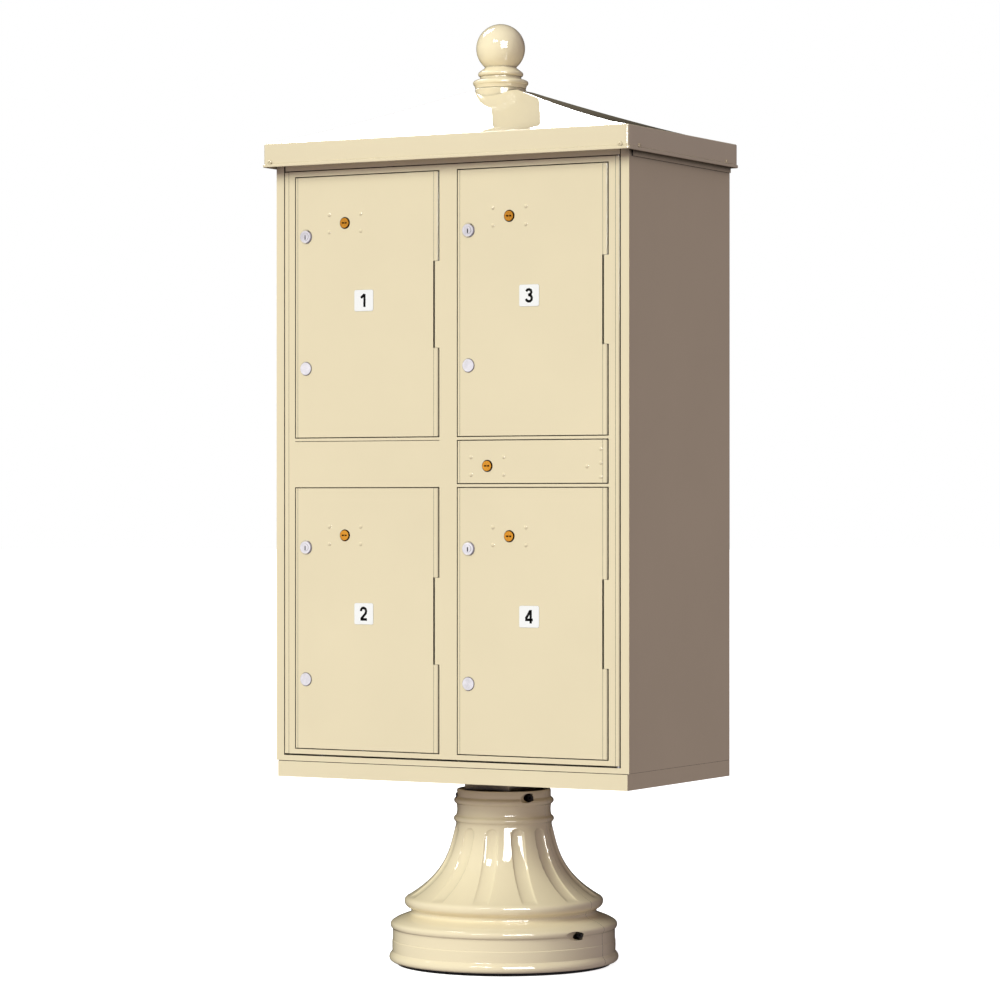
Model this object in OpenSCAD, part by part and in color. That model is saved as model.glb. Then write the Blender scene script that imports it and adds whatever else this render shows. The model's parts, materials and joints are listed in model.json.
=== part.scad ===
// Pedestal parcel locker: a two-column cabinet with four parcel doors and a small lock
// door, carried by one hinged master frame, on a post with a two-part cast cover.
// Millimetres, Z up. The front faces -Y. The origin is on the floor at the post's axis.

/* [Cabinet] */
// Width across the front flanges
cabinet_width = 774.7; // [700:0.1:850]
// Depth from front to back
cabinet_depth = 434.4; // [380:0.1:520]
// Step from the flange edge in to each side panel
side_inset = 3.5; // [0:0.1:8]
// Sheet thickness of the cabinet, hood, shelves and roof
sheet = 2.3; // [1.5:0.1:4]
// Height of the sill's lower edge above the floor
sill_bottom = 365; // [330:1:700]
// Height of the sill band under the front flange
sill_height = 31.4; // [20:0.1:60]
// Depth of the lip turned in round the front opening
lip_depth = 20; // [10:0.5:40]
// Height of the shell's walls above the floor, inside the roof
shell_top = 1577; // [1560:1:1590]

/* [Master frame] */
// Gap between the master frame and the flange at each side
frame_gap = 2.1; // [1:0.1:4]
// Lower edge of the frame above the floor
frame_bottom = 410.2; // [405:0.1:420]
// Upper edge of the frame above the floor
frame_top = 1542.6; // [1500:0.1:1560]
// Depth of the frame from front to back
frame_depth = 16; // [10:0.5:25]
// Thickness of the frame's ribs
rib = 2.65; // [1.5:0.05:4]
// Radius of the master hinge barrel
master_r = 4.5; // [3.5:0.1:6]

/* [Doors] */
// Width of a door cell, from gap centre to gap centre
cell_w = 323.5; // [280:0.1:350]
// Height of a parcel door cell
cell_h = 507; // [400:1:600]
// Left side of the left column
left_col = -343.7; // [-360:0.1:-330]
// Left side of the right column
right_col = 20.2; // [10:0.1:30]
// Bottom of the lower parcel cells
lower_row = 420.7; // [415:0.1:440]
// Bottom of the upper parcel cells
upper_row = 1024.5; // [1000:0.1:1050]
// Bottom of the band that holds the filler and the small door
band_row = 935.1; // [930:0.1:950]
// Height of that band
band_h = 82.2; // [60:0.1:90]
// Thickness of the door plates and the frame's face
plate = 3.2; // [2:0.1:5]
// Gap round each door
gap = 2; // [1:0.1:3]
// Radius of the flush hinge barrel on each door
barrel_r = 5.25; // [4:0.05:7]
// Start of the frame's own knuckle above the bottom of a cell
knuckle_start = 169.7; // [140:0.1:200]
// End of the frame's own knuckle above the bottom of a cell
knuckle_end = 335.2; // [300:0.1:360]
// Gap between a door's plate and the frame's knuckle beside it
knuckle_gap = 1.2; // [1.2:0.1:3]

/* [Locks] */
// Distance of the tenant lock from the left side of a cell
lock_u = 24.2; // [20:0.1:40]
// Height of the tenant lock above the bottom of a cell
lock_v = 391; // [300:0.5:450]
// Height of the blanking plug above the bottom of a cell
blank_v = 134.7; // [80:0.1:200]
// Distance of the carrier's lock from the left side of a parcel cell
arrow_u = 113; // [90:0.5:150]
// Height of the carrier's lock above the bottom of a parcel cell
arrow_v = 415; // [380:0.5:450]
// Distance of the small door's lock from the left side of its cell
small_u = 65.4; // [60:0.1:100]
// Height of the small door's lock above the bottom of its cell
small_v = 33.4; // [30:0.1:50]
// Distance the carrier's bolt slides in a quarter turn
bolt_throw = 12; // [8:0.5:15]
// Distance the master latch bar slides
latch_throw = 18; // [10:1:19]

/* [Roof] */
// Width of the roof across its sides
roof_w = 800; // [780:1:850]
// Front face of the roof, forward of the post axis
roof_front = 246; // [235:1:270]
// Back face of the roof, behind the post axis
roof_back = 220; // [220:1:240]
// Lower edge of the roof's fascia
fascia_bottom = 1551.8; // [1545:0.1:1560]
// Height of the fascia
fascia_h = 46.2; // [30:0.1:60]
// Rise of the roof from the fascia to the boss
roof_rise = 102; // [60:1:160]
// Radius of the boss under the finial
boss_r = 50; // [40:0.5:60]
// Top of the boss
boss_top = 1705; // [1700:1:1720]

/* [Finial] */
// Radius of the ball
ball_r = 48; // [35:0.5:55]
// Height of the ball's centre above the boss
ball_h = 79; // [70:0.5:90]

/* [Pedestal] */
// Width of the post
post_w = 99; // [80:1:110]
// Depth of the post
post_d = 135; // [100:1:140]
// Wall of the post
post_t = 5; // [3:0.5:8]
// Side of the square base plate
base_side = 254; // [200:1:280]
// Spacing of the four anchor holes
anchor_pitch = 190.5; // [150:0.5:220]
// Radius of the anchor holes
anchor_r = 7.15; // [6:0.05:10]
// Thickness of the rubber pad
pad_t = 6.5; // [3:0.5:10]

/* [Base cover] */
// Top of the cover
cover_top = 340; // [320:1:350]
// Radius of the cover's neck
neck_r = 92.8; // [90:0.1:100]
// Radius where the bell starts
bell_r0 = 97.7; // [95:0.1:110]
// Radius where the bell meets the lower torus
bell_r1 = 190; // [170:0.5:200]
// Height where the bell starts
bell_z0 = 250; // [240:1:260]
// Height where the bell ends
bell_z1 = 130; // [120:1:140]
// Radius of the plinth band
plinth_r = 218; // [210:0.5:225]
// Distance of the upper cover screws from the middle
top_screw_x = 80; // [70:0.5:82]
// Height of the upper cover screws
top_screw_z = 328; // [322:0.5:332]
// Distance of the lower cover screws from the middle
low_screw_x = 203; // [196:0.5:206]
// Height of the lower cover screws
low_screw_z = 72; // [40:0.5:78]

/* [Hidden] */
$fn = 96;
cream = [0.92, 0.87, 0.74];
chrome = [0.85, 0.86, 0.88];
brass = [0.90, 0.65, 0.22];
steel = [0.60, 0.60, 0.62];
dark = [0.28, 0.26, 0.25];
front_y = -cabinet_depth / 2;
back_y = cabinet_depth / 2;
flange_x = cabinet_width / 2;
side_x = flange_x - side_inset;
flange_z = sill_bottom + sill_height;
opening_x = 370;
opening_z = 406.8;
header_y = front_y + 1;
header_x = opening_x - 2.5;
hood_y = front_y + 18;
header_z = frame_top + 2;
frame_x = opening_x - frame_gap;
master_x = frame_x - master_r;
master_y = front_y + master_r;
door_in = gap / 2;
hinge_u = cell_w - door_in - barrel_r;
hinge_y = front_y + barrel_r;
pin_r = 2;
run = 0.05;
frame_back = front_y + frame_depth;
partition_y = -183;
floor_top = flange_z - 0.4;
roof_cy = (roof_back - roof_front) / 2;
roof_d = roof_back + roof_front;
eave_z = fascia_bottom + fascia_h;
screw_z = fascia_bottom + 9.2;
side_screw_y = [-200, 170];
front_screw_x = 384;
pinion_r = 7.5;
rack_gap = 0.3;
bolt_y0 = front_y + 18.2;
bolt_y1 = bolt_y0 + 5;
bolt_h = 10;
arrow_uv = [arrow_u, arrow_v];
small_uv = [small_u, small_v];
knuckle = [knuckle_start, knuckle_end];
// Cover screws: distance from the middle, height, and depth of the pocket's floor.
top_screw = [top_screw_x, top_screw_z, -36];
low_screw = [low_screw_x, low_screw_z, -62];
// Offsets of the four rivets round a carrier's lock.
rivet_at = [[-35.5, 16.75], [35.5, 16.75], [-35.5, -16.75], [35.5, -16.75]];
// Rivets of the small door's hinge leaf, in its cell's frame.
leaf_rivets = [[307.7, 64.3], [307.7, 38.1], [307.7, 11.9], [279, 31.7]];
case_y1 = front_y + 27.2;
case_y0 = front_y + plate;
bar_y0 = front_y + 20.5;
bar_y1 = bar_y0 + 6;
bar_z = 1005;
plate_top_z = floor_top - sheet;
guide_xs = [-330, -8, 270];
cells = [[left_col, lower_row], [right_col, lower_row], [left_col, upper_row], [right_col, upper_row]];
bands = [left_col, right_col];

// ---------- helpers ----------

// A box given by its limits on each axis.
module slab(x0, x1, y0, y1, z0, z1) {
  translate([x0, y0, z0])
    cube([x1 - x0, y1 - y0, z1 - z0]);
}

// A cylinder along Y.
module rod_y(x, z, r, y0, y1) {
  translate([x, y0, z])
    rotate([-90, 0, 0])
      cylinder(r = r, h = y1 - y0);
}

// A cylinder along X.
module rod_x(y, z, r, x0, x1) {
  translate([x0, y, z])
    rotate([0, 90, 0])
      cylinder(r = r, h = x1 - x0);
}

// The children, and the same on the other side of the middle.
module both_sides() {
  children();
  mirror([1, 0, 0])
    children();
}

// A rectangle with round corners, centred.
module round_rect(w, d, r) {
  square([w - 2 * r, d], center = true);
  square([w, d - 2 * r], center = true);
  for (x = [-1, 1])
    for (y = [-1, 1])
      translate([x * (w / 2 - r), y * (d / 2 - r)])
        circle(r = r);
}

// A rectangular ring whose walls are t thick, from y0 to y1.
module ring(x0, x1, y0, y1, z0, z1, t) {
  difference() {
    slab(x0, x1, y0, y1, z0, z1);
    slab(x0 + t, x1 - t, y0 - 1, y1 + 1, z0 + t, z1 - t);
  }
}

// Puts a piece drawn in a cell's own frame on parcel door k: odd numbers are the upper row.
module on_door(k) {
  translate([k > 2 ? right_col : left_col, 0, k % 2 == 1 ? upper_row : lower_row])
    children();
}

// ---------- cabinet ----------

module cabinet_shell() {
  color(cream)
    difference() {
      union() {
        both_sides() {
          slab(side_x - sheet, side_x, front_y, back_y, flange_z, shell_top);
          slab(opening_x, flange_x, front_y, front_y + sheet, flange_z, shell_top);
          slab(opening_x, opening_x + sheet, front_y, front_y + lip_depth, flange_z, shell_top);
          front_bracket();
        }
        slab(-side_x, side_x, back_y - sheet, back_y, flange_z, shell_top);
        // bottom rail of the flange and the lip behind it
        slab(-flange_x, flange_x, front_y, front_y + sheet, flange_z, opening_z);
        slab(-opening_x, opening_x, front_y, front_y + lip_depth, opening_z - sheet, opening_z);
        // header bar over the master frame, with a reveal at each end
        slab(-header_x, header_x, header_y, header_y + sheet, header_z, shell_top);
        slab(-header_x, header_x, header_y, header_y + 16, header_z, header_z + sheet);
        slab(-opening_x, opening_x, header_y + 16 - sheet, header_y + 16, header_z, shell_top);
        // blocks that carry the master frame's pivots
        slab(master_x - 7, opening_x, front_y + sheet, front_y + 12, flange_z, opening_z);
        slab(master_x - 7, header_x, header_y, header_y + 15, header_z, header_z + 8);
      }
      translate([master_x, master_y, flange_z + 1])
        cylinder(r = 2.5, h = opening_z - flange_z);
      translate([master_x, master_y, header_z - 1])
        cylinder(r = 2.5, h = 8);
      // pilot holes for the roof's front screws
      both_sides()
        rod_y(front_screw_x, screw_z, 2, -roof_front, front_y - 4);
    }
}

// Angle from the flange to the inside of the roof's front fascia.
module front_bracket() {
  y = -roof_front + sheet;
  slab(opening_x + 6, flange_x, y, front_y, screw_z + 5, screw_z + 5 + sheet);
  slab(opening_x + 6, flange_x + 3, y, y + sheet, fascia_bottom + 3, screw_z + 5 + sheet);
}

module hood() {
  skirt_x = side_x + 0.3;
  color(cream)
    difference() {
      union() {
        slab(-skirt_x - sheet, skirt_x + sheet, hood_y, back_y, shell_top, shell_top + sheet);
        both_sides() {
          slab(skirt_x, skirt_x + sheet, hood_y, back_y, frame_top + 0.4, shell_top + sheet);
          for (y = side_screw_y)
            side_bracket(skirt_x, y);
        }
      }
      both_sides()
        for (y = side_screw_y)
          rod_x(y, screw_z, 2, roof_w / 2 - sheet - 4, roof_w / 2);
    }
}

// Angle from the hood's skirt to the inside of the roof's side fascia.
module side_bracket(x, y) {
  x1 = roof_w / 2 - sheet;
  slab(x, x1, y - 3, y + 15, screw_z + 5, screw_z + 5 + sheet);
  slab(x1 - sheet, x1, y - 3, y + 15, fascia_bottom + 3, screw_z + 5 + sheet);
}

module cabinet_floor() {
  color(cream)
    difference() {
      slab(-side_x, side_x, front_y, back_y, sill_bottom, floor_top);
      slab(-side_x + sheet, side_x - sheet, front_y + sheet, back_y - sheet, sill_bottom - 1, plate_top_z);
      // shadow line under the front flange
      slab(-flange_x, flange_x, front_y - 1, front_y + 1.5, floor_top - 0.9, floor_top + 1);
      for (x = [-85, 85])
        for (y = [-75, 75])
          translate([x, y, plate_top_z - 1])
            cylinder(r = 6.6, h = sheet + 2);
    }
}

module center_partition() {
  color(cream)
    difference() {
      slab(-sheet / 2, sheet / 2, partition_y, back_y - sheet, floor_top, shell_top);
      for (z = [shelf_z(0), shelf_z(1)])
        slab(-5, 5, 0, back_y, z, z + sheet);
    }
}

// Underside of the lower (0) and the upper (1) shelf.
function shelf_z(i) = i == 0 ? band_row - 4.8 : upper_row - 5.5;

module shelf(i) {
  z = shelf_z(i);
  x = side_x - sheet;
  difference() {
    union() {
      slab(-x, x, partition_y, back_y - sheet, z, z + sheet);
      slab(-x, x, partition_y, partition_y + sheet, z - 14, z + sheet);
    }
    slab(-sheet / 2, sheet / 2, partition_y - 1, 0, z - 20, z + 5);
  }
}

module upper_shelf() {
  color(cream)
    shelf(1);
}

module lower_shelf() {
  color(cream)
    shelf(0);
}

// ---------- roof and finial ----------

// Height of the roof along its slope: u is 1 at the eave and 0 at the middle.
function roof_z(u) = eave_z + roof_rise * pow((1 - u) / 0.87, 1.2);

// A solid under the sagging hipped roof, lowered by drop.
module roof_solid(drop) {
  us = [for (i = [0 : 9]) 1 - i * 0.1];
  n = len(us);
  rings = [for (u = us) [roof_w / 2 * u, roof_d / 2 * u, roof_z(u) - drop]];
  base = [roof_w / 2, roof_d / 2, eave_z - 12 - drop];
  levels = concat([base], rings);
  pts = [for (r = levels) for (c = [[1, -1], [1, 1], [-1, 1], [-1, -1]]) [c[0] * r[0], c[1] * r[1], r[2]]];
  sides = [for (i = [0 : n - 1]) for (k = [0 : 3])
    [4 * i + k, 4 * (i + 1) + k, 4 * (i + 1) + (k + 1) % 4, 4 * i + (k + 1) % 4]];
  caps = [[0, 1, 2, 3], [4 * n + 3, 4 * n + 2, 4 * n + 1, 4 * n]];
  translate([0, roof_cy, 0])
    polyhedron(points = pts, faces = concat(sides, caps), convexity = 4);
}

module roof_prism(grow, z0, z1) {
  translate([0, roof_cy, z0])
    linear_extrude(height = z1 - z0)
      round_rect(roof_w + 2 * grow, roof_d + 2 * grow, 8 + grow);
}

module roof_cap() {
  color(cream)
    difference() {
      union() {
        intersection() {
          roof_solid(0);
          roof_prism(0, fascia_bottom, boss_top + 5);
        }
        roof_prism(0, fascia_bottom, eave_z - 6);
        roof_prism(2.4, fascia_bottom, fascia_bottom + 4);
        translate([0, roof_cy, boss_top - 25])
          cylinder(r = boss_r, h = 25);
      }
      intersection() {
        roof_solid(2.6);
        roof_prism(-sheet, fascia_bottom - 1, boss_top + 5);
      }
      roof_prism(-sheet, fascia_bottom - 1, eave_z - 12);
      translate([0, roof_cy, boss_top - 40])
        cylinder(r = boss_r - 2.5, h = 37);
      translate([0, roof_cy, boss_top - 5])
        cylinder(r = 5.3, h = 10);
      both_sides() {
        for (y = side_screw_y)
          rod_x(y, screw_z, 2.2, roof_w / 2 - 5, roof_w / 2 + 5);
        rod_y(front_screw_x, screw_z, 2.2, -roof_front - 5, -roof_front + 5);
      }
    }
}

// A pan-head screw along +Z, its head standing on z = 0 and its shank going down.
module pan_screw(head_r, head_h, shank_r, length) {
  difference() {
    union() {
      cylinder(r = head_r, h = head_h * 0.6);
      translate([0, 0, head_h * 0.6])
        cylinder(r1 = head_r, r2 = head_r * 0.7, h = head_h * 0.4);
      translate([0, 0, -length])
        cylinder(r = shank_r, h = length + 0.1);
    }
    for (a = [0, 90])
      rotate([0, 0, a])
        translate([0, 0, head_h])
          cube([head_r * 1.1, head_r * 0.3, head_h], center = true);
  }
}

module roof_screws() {
  color(cream)
    both_sides() {
      for (y = side_screw_y)
        translate([roof_w / 2, y, screw_z])
          rotate([0, 90, 0])
            pan_screw(4, 2.4, 2, 7);
      translate([front_screw_x, -roof_front, screw_z])
        rotate([90, 0, 0])
          pan_screw(4, 2.4, 2, 7);
    }
}

module finial() {
  color(cream)
    translate([0, roof_cy, boss_top])
      difference() {
        union() {
          translate([0, 0, ball_h])
            sphere(r = ball_r);
          rotate_extrude()
            finial_half();
        }
        translate([0, 0, -1])
          cylinder(r = 5, h = 56);
      }
}

// Half section of the turned foot under the ball.
module finial_half() {
  difference() {
    union() {
      square([51.5, 8]);
      square([43, 33]);
      translate([48.5, 11.5])
        circle(r = 5.5);
      square([48.5, 17]);
      translate([40, 29])
        circle(r = 4.5);
      square([31, 45]);
    }
    // cove between the two rings
    translate([46, 22.5])
      circle(r = 6.5);
    // cove of the neck
    translate([43, 42])
      circle(r = 13);
  }
}

// The threaded stud inside the finial, with its nut and washer under the boss.
module finial_stud() {
  color(steel)
    translate([0, roof_cy, 0]) {
      translate([0, 0, boss_top - 24])
        cylinder(r = 5, h = 78);
      difference() {
        translate([0, 0, boss_top - 14])
          cylinder(r = 9.8, h = 8.5, $fn = 6);
        translate([0, 0, boss_top - 15])
          cylinder(r = 5 + run, h = 12);
      }
      difference() {
        translate([0, 0, boss_top - 5.5])
          cylinder(r = 14, h = 2.5);
        translate([0, 0, boss_top - 6])
          cylinder(r = 5 + run, h = 4);
      }
    }
}

// ---------- pedestal ----------

module pedestal_post() {
  color(dark)
    difference() {
      union() {
        slab(-post_w / 2, post_w / 2, -post_d / 2, post_d / 2, pad_t, plate_top_z);
        slab(-base_side / 2, base_side / 2, -base_side / 2, base_side / 2, pad_t, pad_t + 12.7);
        slab(-110, 110, -100, 100, plate_top_z - 10, plate_top_z);
      }
      slab(
        -post_w / 2 + post_t, post_w / 2 - post_t, -post_d / 2 + post_t, post_d / 2 - post_t,
        pad_t + 12.7, plate_top_z - 10
      );
      anchor_holes(anchor_r, pad_t - 1, 20);
      for (x = [-85, 85])
        for (y = [-75, 75])
          translate([x, y, plate_top_z - 12])
            cylinder(r = 6.6, h = 14);
    }
}

module anchor_holes(r, z, h) {
  for (x = [-1, 1])
    for (y = [-1, 1])
      translate([x * anchor_pitch / 2, y * anchor_pitch / 2, z])
        cylinder(r = r, h = h);
}

// Four hex bolts through the cabinet floor and the post's top plate, with their nuts.
module cabinet_bolts() {
  color(steel)
    for (x = [-85, 85])
      for (y = [-75, 75])
        translate([x, y, 0]) {
          translate([0, 0, floor_top])
            cylinder(r = 10.4, h = 8, $fn = 6);
          translate([0, 0, plate_top_z - 26])
            cylinder(r = 6, h = 26 + sheet);
          difference() {
            translate([0, 0, plate_top_z - 20])
              cylinder(r = 10.4, h = 10, $fn = 6);
            translate([0, 0, plate_top_z - 21])
              cylinder(r = 6 + run, h = 12);
          }
        }
}

module base_pad() {
  color(dark)
    difference() {
      cylinder(r = 208, h = pad_t);
      anchor_holes(anchor_r + 1.5, -1, pad_t + 2);
    }
}

// Radius of the bell at t, 0 at its top and 1 at its foot.
function bell_r(t) = bell_r0 + (bell_r1 - bell_r0) * (0.35 * t + 0.65 * pow(t, 3));
function bell_z(t) = bell_z0 + (bell_z1 - bell_z0) * t;

// Points on an arc round (x, z), from angle a0 to angle a1.
function arc(x, z, r, a0, a1, n) = [
  for (i = [0 : n]) let (a = a0 + (a1 - a0) * i / n) [x + r * cos(a), z + r * sin(a)]
];

// Half section of the solid under the cover's outside.
module cover_outer() {
  bell = [for (i = [0 : 12]) [bell_r(i / 12), bell_z(i / 12)]];
  bead_x = neck_r - 1.6;
  polygon(concat(
    [[0, pad_t], [0, cover_top], [neck_r - 4, cover_top], [neck_r, cover_top - 6]],
    arc(bead_x, 316, 6.5, 72, -72, 8),
    arc(bead_x, 279, 6.5, 72, -72, 8),
    [[neck_r, 268], [bell_r0 - 0.6, 260]],
    bell,
    arc(183.4, 119, 11, 40, -70, 8),
    [[182, 104], [182, 97], [185, 93], [198, 91], [205, 88]],
    arc(213.2, 75, 9.5, 85, -25, 8),
    [[plinth_r, 66], [plinth_r, 49], [plinth_r + 1.2, 48], [plinth_r + 1.2, 45], [plinth_r, 44]],
    [[plinth_r, 24], [222, 21], [224.7, 17], [224.7, pad_t + 3], [222, pad_t]]
  ));
}

// Half section of the hollow inside the cover.
module cover_inner() {
  bell = [for (i = [0 : 12]) [bell_r(i / 12) - 8, bell_z(i / 12) - 3 * i / 12]];
  polygon(concat(
    [[0, 0], [0, cover_top + 5], [neck_r - 6, cover_top + 5], [neck_r - 6, 262]],
    bell,
    [[176, 112], [174, 84], [205, 78], [plinth_r - 6, 66], [plinth_r - 6, 0]]
  ));
}

// The front half of the cover lies on the -Y side of the post, from 180 to 360 degrees.
module cover_half() {
  rotate([0, 0, 180])
    rotate_extrude(angle = 180)
      difference() {
        cover_outer();
        cover_inner();
      }
}

// Bosses inside the cover for the screws that draw the halves together.
module cover_bosses(top_y, low_y) {
  both_sides() {
    rod_y(top_screw[0], top_screw[1], 7, min(0, top_y), max(0, top_y));
    rod_y(low_screw[0], low_screw[1], 8, min(0, low_y), max(0, low_y));
  }
}

module cover_front() {
  color(cream)
    difference() {
      union() {
        cover_half();
        cover_bosses(-30, -50);
      }
      both_sides()
        for (s = [top_screw, low_screw]) {
          rod_y(s[0], s[1], 3.2, -150, 1);
          rod_y(s[0], s[1], 6.5, -150, s[2]);
        }
    }
}

module cover_back() {
  color(cream)
    difference() {
      union() {
        mirror([0, 1, 0])
          cover_half();
        cover_bosses(24, 26);
      }
      both_sides()
        for (s = [top_screw, low_screw])
          rod_y(s[0], s[1], 3, -1, 20);
    }
}

module cover_screws() {
  color(dark)
    both_sides()
      for (s = [top_screw, low_screw])
        difference() {
          union() {
            rod_y(s[0], s[1], 5.5, s[2] - 5, s[2]);
            rod_y(s[0], s[1], 3, s[2] - 0.1, 18);
          }
          translate([s[0], s[2] - 5.5, s[1]])
            rotate([-90, 0, 0])
              cylinder(r = 2.9, h = 3.5, $fn = 6);
        }
}

// ---------- master frame ----------

module master_pivots() {
  color(steel) {
    translate([master_x, master_y, flange_z + 1])
      cylinder(r = 2.5, h = 64);
    // collar the frame stands on
    difference() {
      translate([master_x, master_y, opening_z])
        cylinder(r = 4, h = frame_bottom - opening_z - 0.2);
      translate([master_x, master_y, opening_z - 1])
        cylinder(r = 2.5 + run, h = 10);
    }
    translate([master_x, master_y, frame_top - 52])
      cylinder(r = 2.5, h = 60);
  }
}

// The parcel openings, the filler opening and the small door's opening.
module openings(grow, y0, y1) {
  g = door_in + grow;
  for (c = cells)
    slab(c[0] - g, c[0] + cell_w + g, y0, y1, c[1] - g, c[1] + cell_h + g);
  for (x = bands)
    slab(x - g, x + cell_w + g, y0, y1, band_row - g, band_row + band_h + g);
}

module master_frame() {
  color(cream)
    difference() {
      union() {
        slab(-frame_x, frame_x, front_y, front_y + plate, frame_bottom, frame_top);
        ring(-frame_x, frame_x, front_y, frame_back, frame_bottom, frame_top, 3);
        openings(rib, front_y + plate, frame_back);
      }
      difference() {
        openings(0, front_y - 1, frame_back + 1);
        frame_knuckles();
      }
      // round the front right edge down to the barrel
      difference() {
        slab(master_x, frame_x + 1, front_y - 1, master_y, frame_bottom - 1, frame_top + 1);
        translate([master_x, master_y, frame_bottom - 2])
          cylinder(r = master_r, h = frame_top - frame_bottom + 4);
      }
      // sight grooves beside the barrel and along the left edge
      both_sides()
        slab(
          master_x - master_r - 0.4, master_x - master_r + 0.4, front_y - 1, front_y + 0.5,
          frame_bottom - 1, frame_top + 1
        );
      translate([master_x, master_y, frame_bottom - 1])
        cylinder(r = 2.5 + run, h = 53);
      translate([master_x, master_y, frame_top - 54])
        cylinder(r = 2.5 + run, h = 55);
      for (c = cells)
        translate([c[0] + hinge_u, hinge_y, c[1] + knuckle[0] - 1])
          cylinder(r = pin_r, h = knuckle[1] - knuckle[0] + 2);
      translate([right_col + hinge_u, hinge_y, band_row - 4.5])
        cylinder(r = pin_r, h = band_h + 9);
    }
}

// The frame's knuckle in the middle third of each parcel door's hinge side.
module frame_knuckles() {
  for (c = cells)
    translate([c[0], 0, c[1] + knuckle[0]]) {
      h = knuckle[1] - knuckle[0];
      translate([hinge_u, hinge_y, 0])
        cylinder(r = barrel_r, h = h);
      slab(hinge_u, cell_w + door_in + 1, front_y, front_y + plate, 0, h);
    }
}

module filler_panel() {
  color(cream)
    union() {
      slab(
        left_col - door_in, left_col + cell_w + door_in, front_y, front_y + plate,
        band_row - door_in, band_row + band_h - 0.2
      );
      slab(
        left_col - door_in, left_col + cell_w + door_in, front_y, frame_back,
        band_row - door_in, band_row - door_in + rib
      );
    }
}

module hinge_pins() {
  color(steel) {
    for (c = cells)
      translate([c[0] + hinge_u, hinge_y, c[1] + 1.5])
        cylinder(r = pin_r, h = cell_h - 3);
    translate([right_col + hinge_u, hinge_y, band_row - 4.5])
      cylinder(r = pin_r, h = band_h + 9);
  }
}

// Straps across the band behind the frame, each with a loop for the latch bar.
module latch_guides() {
  color(steel)
    for (x = guide_xs)
      difference() {
        union() {
          slab(x - 10, x + 10, frame_back, frame_back + 2, band_row - 5, band_row + band_h + 5);
          slab(x - 10, x + 10, frame_back, bar_y1 + 3.5, bar_z - 9.5, bar_z + 9.5);
        }
        slab(x - 11, x + 11, bar_y0 - 0.5, bar_y1 + 0.5, bar_z - 6.5, bar_z + 6.5);
      }
}

module latch_bar() {
  color(steel) {
    slab(-362, 300, bar_y0, bar_y1, bar_z - 6, bar_z + 6);
    slab(228, 248, bar_y0, bar_y1, 972, bar_z);
    rod_y(238, 981, 6, bar_y0 - 14, bar_y0 + 1);
  }
}

// ---------- doors ----------

// A door's plate with its turned rim, its barrel and its pin bore, in a cell's own frame.
module door_blank(h, split) {
  difference() {
    union() {
      slab(door_in, hinge_u, front_y, front_y + plate, door_in, h - door_in);
      ring(door_in, 300, front_y, front_y + 12, door_in, h - door_in, 2);
      translate([hinge_u, hinge_y, door_in])
        cylinder(r = barrel_r, h = h - gap);
    }
    // sight grooves beside the barrel and along the left edge
    for (u = [door_in + 4.5, hinge_u - barrel_r])
      slab(u - 0.4, u + 0.4, front_y - 1, front_y + 0.5, 0, h);
    translate([hinge_u, hinge_y, 0])
      cylinder(r = pin_r + run, h = h);
    if (split)
      slab(
        hinge_u - barrel_r - knuckle_gap, cell_w, front_y - 1, front_y + 20,
        knuckle[0] - 0.5, knuckle[1] + 0.5
      );
  }
}

module parcel_door() {
  difference() {
    door_blank(cell_h, true);
    rod_y(lock_u, lock_v, 9.6, front_y - 1, front_y + plate + 1);
    rod_y(lock_u, blank_v, 9.6, front_y - 1, front_y + plate + 1);
    rod_y(arrow_uv[0], arrow_uv[1], 11.5, front_y - 1, front_y + plate + 1);
    rivet_holes(arrow_uv);
  }
}

module rivet_holes(c) {
  for (p = rivet_at)
    rod_y(c[0] + p[0], c[1] + p[1], 2, front_y - 1, front_y + plate + 8);
}

// A button-head rivet whose head stands on the door's face.
module rivet(u, v, length) {
  cap_r = 5.8;
  intersection() {
    translate([u, front_y + cap_r - 1.6, v])
      sphere(r = cap_r);
    rod_y(u, v, 5, front_y - 3, front_y);
  }
  rod_y(u, v, 2, front_y - 0.5, front_y + length);
}

module rivet_set(c) {
  color(cream)
    for (p = rivet_at)
      rivet(c[0] + p[0], c[1] + p[1], plate + 6);
}

// The carrier lock's case, with a bore for its plug, room for the pinion and a bolt slot.
module arrow_case(c, slot_u) {
  color(dark)
    translate([c[0], 0, c[1]])
      difference() {
        slab(-42, 42, case_y0, case_y1, -23, 24);
        rod_y(0, 0, 9.5 + run, case_y0 - 1, bolt_y0 - 0.8);
        rod_y(0, 0, pinion_r + 0.5, bolt_y0 - 1, bolt_y1 + 0.7);
        slab(
          -43, slot_u, bolt_y0 - 0.3, bolt_y1 + 0.3,
          pinion_r, pinion_r + rack_gap + bolt_h + 0.3
        );
        for (p = rivet_at)
          rod_y(p[0], p[1], 2, case_y0 - 1, case_y0 + 8);
      }
}

// The carrier lock's plug: face, keyway and the pinion that drives the bolt.
module arrow_plug(c) {
  color(brass)
    translate([c[0], 0, c[1]])
      difference() {
        union() {
          rod_y(0, 0, 9.5, front_y - 2.5, bolt_y0 - 1);
          rod_y(0, 0, pinion_r, bolt_y0 - 1.1, bolt_y1);
        }
        // keyway with a centre pin
        difference() {
          slab(-5.6, 5.6, front_y - 3.5, front_y + 4, -1.4, 1.4);
          rod_y(0, 0, 1.1, front_y - 2.1, front_y + 5);
        }
      }
}

// The carrier lock's bolt, a rack bar above the pinion with a slimmer tongue. It rests drawn in.
module arrow_bolt(c) {
  z = c[1] + pinion_r + rack_gap;
  color(steel)
    difference() {
      slab(3, c[0] + 15, bolt_y0, bolt_y1, z, z + bolt_h);
      slab(2, c[0] - 50, bolt_y0 - 1, bolt_y1 + 1, z + 6, z + bolt_h + 1);
    }
}

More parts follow.
